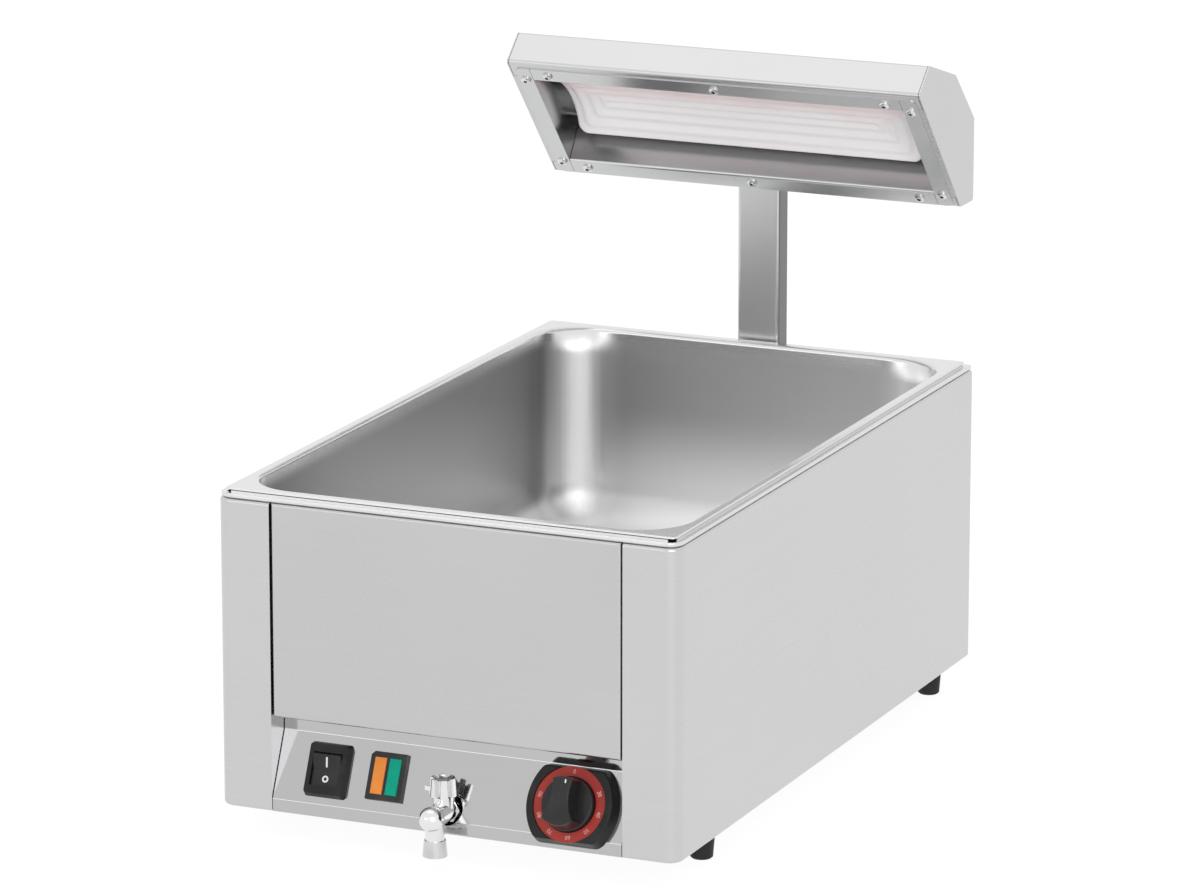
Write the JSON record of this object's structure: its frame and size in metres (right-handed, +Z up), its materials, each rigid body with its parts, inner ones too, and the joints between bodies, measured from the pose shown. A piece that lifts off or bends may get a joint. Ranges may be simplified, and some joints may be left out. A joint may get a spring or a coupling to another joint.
{
  "type": "fry warmer",
  "caption": "Countertop fry warmer: deep heated basin in a folded steel casing, infrared hood on a rear post, drain tap and controls on a sloping panel.",
  "frame": {"origin": "bottom centre of the whole object's box, on the plane the feet stand on", "axes": "+X to the right seen from the front, +Y from the front to the post at the back, +Z up"},
  "size_m": [0.33, 0.5928, 0.4594],
  "materials": {
    "casing_steel": "fine brushed stainless steel",
    "basin_steel": "deep drawn stainless steel, satin",
    "plain_steel": "plain stainless steel",
    "reflector_steel": "bright annealed sheet",
    "heater_steel": "oxidised sheath",
    "chromed_brass": "chromed casting",
    "brass": "turned brass",
    "element_ceramic": "glazed, off white",
    "block_ceramic": "unglazed",
    "black_moulding": "fine grain moulding",
    "thermostat_moulding": "plain moulding",
    "ring_red": "printed ring",
    "lens_amber": "clear tinted lens",
    "lens_green": "clear tinted lens",
    "foot_rubber": "moulded rubber",
    "seal_rubber": "silicone strip"
  },
  "bodies": {
    "base": {"left_side_panel": "casing_steel", "right_side_panel": "casing_steel", "front_panel": "casing_steel", "rear_panel": "casing_steel", "control_panel": "casing_steel", "post": "casing_steel", "hood_shell": "casing_steel", "hood_end_left": "casing_steel", "hood_end_right": "casing_steel", "basin": "basin_steel", "base_plate": "plain_steel", "foot_screws": "plain_steel", "base_screws": "plain_steel", "post_bolts": "plain_steel", "post_nuts": "plain_steel", "hood_bolts": "plain_steel", "reflector_screws": "plain_steel", "element_clip": "plain_steel", "drain_pipe": "plain_steel", "heater_straps": "plain_steel", "safety_cutout": "plain_steel", "reflector": "reflector_steel", "reflector_end_left": "reflector_steel", "reflector_end_right": "reflector_steel", "basin_heater": "heater_steel", "tap_body": "chromed_brass", "tap_nozzle": "chromed_brass", "tap_nut": "brass", "thermostat_bulb": "brass", "ceramic_element": "element_ceramic", "element_terminal": "block_ceramic", "switch_housing": "black_moulding", "pilot_housing": "black_moulding", "thermostat_bezel": "black_moulding", "cable_gland": "black_moulding", "gland_nut": "black_moulding", "thermostat_body": "thermostat_moulding", "terminal_block": "thermostat_moulding", "scale_ring": "ring_red", "amber_lens": "lens_amber", "green_lens": "lens_green", "foot_front_left": "foot_rubber", "foot_front_right": "foot_rubber", "foot_rear_left": "foot_rubber", "foot_rear_right": "foot_rubber", "rim_seal": "seal_rubber"},
    "knob": {"thermostat_knob": "black_moulding", "thermostat_shaft": "plain_steel"},
    "rocker": {"switch_rocker": "black_moulding"},
    "tap_turn": {"tap_handle": "chromed_brass", "tap_plug": "brass"}
  },
  "joints": [
    {"name": "thermostat_turn", "type": "hinge", "parent": "base", "child": "knob", "pos_m": [0.0885, -0.2585, 0.04709], "axis": [0, 0.9135, -0.4067], "range_deg": [0, 280]},
    {"name": "rocker_tip", "type": "hinge", "parent": "base", "child": "rocker", "pos_m": [-0.0885, -0.25798, 0.04949], "axis": [-1, 0, 0], "range_deg": [0, 20]},
    {"name": "tap_turn", "type": "hinge", "parent": "base", "child": "tap_turn", "pos_m": [0, -0.27, 0.045], "axis": [0, 0, 1], "range_deg": [0, 90]}
  ]
}
